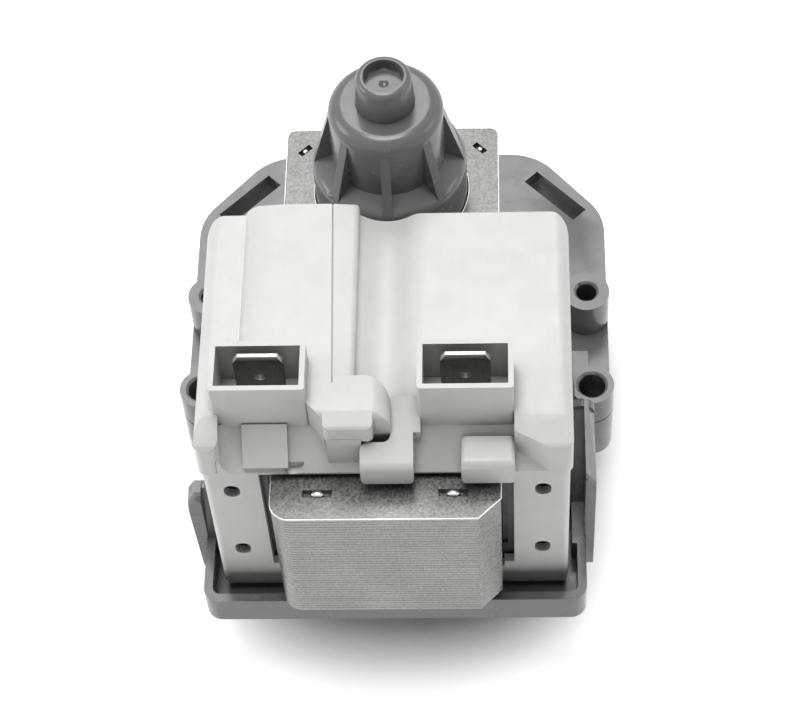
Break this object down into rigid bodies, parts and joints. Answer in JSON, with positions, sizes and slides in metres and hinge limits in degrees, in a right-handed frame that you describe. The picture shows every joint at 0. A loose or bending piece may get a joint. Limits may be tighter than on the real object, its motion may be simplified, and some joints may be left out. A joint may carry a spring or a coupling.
{
  "type": "washing machine drain pump",
  "caption": "Motor unit of a washer drain pump: laminated core and covered coils on a moulded flange with screw lugs, and a bladed impeller below it.",
  "frame": {"origin": "on the rotor axis, in the plane of the flange's mating face, at the root of the collar", "axes": "+Z along the rotor axis from the impeller to the can's closed end; -Y towards the coils and the yoke; +X to the right when the coils face the viewer"},
  "size_m": [0.0614, 0.0793, 0.0727],
  "materials": {
    "grey_plastic": "moulded, slightly grained",
    "white_plastic": "moulded, matte",
    "core_steel": "bare electrical steel, edges striped by the stack",
    "cream_plastic": "moulded, matte",
    "copper_wire": "enamelled wire",
    "tinned_brass": "tinned, bright",
    "dark_plastic": "moulded, matte",
    "red_lead": "insulated wire",
    "blue_lead": "insulated wire",
    "carbon": "pressed carbon, dull",
    "black_rubber": "moulded rubber",
    "bright_steel": "ground",
    "ferrite": "sintered, dark grey",
    "impeller_plastic": "moulded, smooth"
  },
  "bodies": {
    "housing": {"pump_flange": "grey_plastic", "flange_seal": "black_rubber", "core_laminations": "core_steel", "bobbin_left": "dark_plastic", "bobbin_right": "dark_plastic", "winding_left": "copper_wire", "winding_right": "copper_wire", "coil_housing": "white_plastic", "coil_cover": "white_plastic", "terminal_left": "tinned_brass", "terminal_right": "tinned_brass", "thermal_protector": "dark_plastic", "terminal_lead_left": "red_lead", "protector_lead": "red_lead", "crossover_lead": "copper_wire", "terminal_lead_right": "blue_lead", "front_bearing_carrier": "cream_plastic", "front_bearing": "carbon", "rear_bearing_cup": "black_rubber", "rear_bearing": "carbon"},
    "rotor": {"rotor_shaft": "bright_steel", "rotor_sleeve": "dark_plastic", "rotor_magnet": "ferrite", "front_thrust_washer": "cream_plastic", "rear_thrust_washer": "cream_plastic", "drive_dog": "cream_plastic", "impeller_retainer": "bright_steel"},
    "impeller": {"impeller": "impeller_plastic", "impeller_hub_cover": "impeller_plastic", "coupling_bumpers": "black_rubber"}
  },
  "joints": [
    {"name": "rotor_spin", "type": "hinge", "parent": "housing", "child": "rotor", "pos_m": [0, 0, 0], "axis": [0, 0, 1], "continuous": true},
    {"name": "impeller_lost_motion", "type": "hinge", "parent": "rotor", "child": "impeller", "pos_m": [0, 0, 0], "axis": [0, 0, 1], "range_deg": [-117, 117]}
  ]
}
